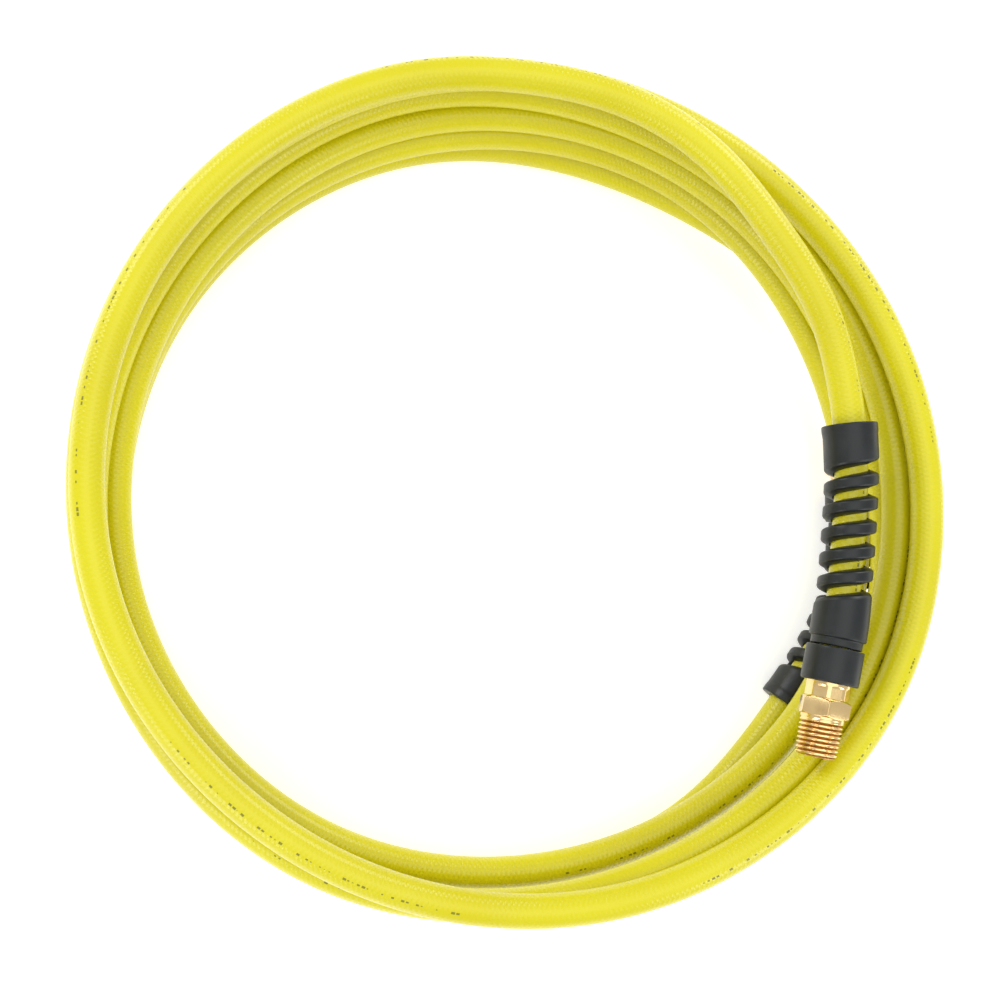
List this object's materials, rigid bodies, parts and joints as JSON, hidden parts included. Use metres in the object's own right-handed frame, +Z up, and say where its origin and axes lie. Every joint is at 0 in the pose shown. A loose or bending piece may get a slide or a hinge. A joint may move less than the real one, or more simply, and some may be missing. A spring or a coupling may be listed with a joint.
{
  "type": "coiled air hose",
  "caption": "Yellow reinforced air hose wound in a round coil, with a helical bend restrictor and a male pipe-threaded brass fitting on each end.",
  "frame": {"origin": "centre of the coil, on the surface that it lies on", "axes": "+Z up along the coil's axis; +Y the way that the hose leaves the upper fitting"},
  "size_m": [0.2796, 0.2796, 0.069],
  "materials": {
    "hose_cover": "glossy extruded cover with the braid's fine cross ribs",
    "braid_yarn": "woven reinforcing yarn",
    "hose_liner": "smooth extruded liner",
    "black_rubber": "satin moulded rubber",
    "brass": "bright machined brass"
  },
  "bodies": {
    "root": {"hose_coil": "hose_cover", "upper_hose_tail": "hose_cover", "upper_hose_cover_end": "hose_cover", "upper_hose_braid_end": "braid_yarn", "upper_hose_liner_end": "hose_liner", "upper_bend_restrictor": "black_rubber", "upper_grip_collar": "black_rubber", "upper_crimp_ferrule": "brass", "upper_threaded_fitting": "brass", "lower_hose_tail": "hose_cover", "lower_hose_cover_end": "hose_cover", "lower_hose_braid_end": "braid_yarn", "lower_hose_liner_end": "hose_liner", "lower_bend_restrictor": "black_rubber", "lower_grip_collar": "black_rubber", "lower_crimp_ferrule": "brass", "lower_threaded_fitting": "brass"}
  },
  "joints": []
}
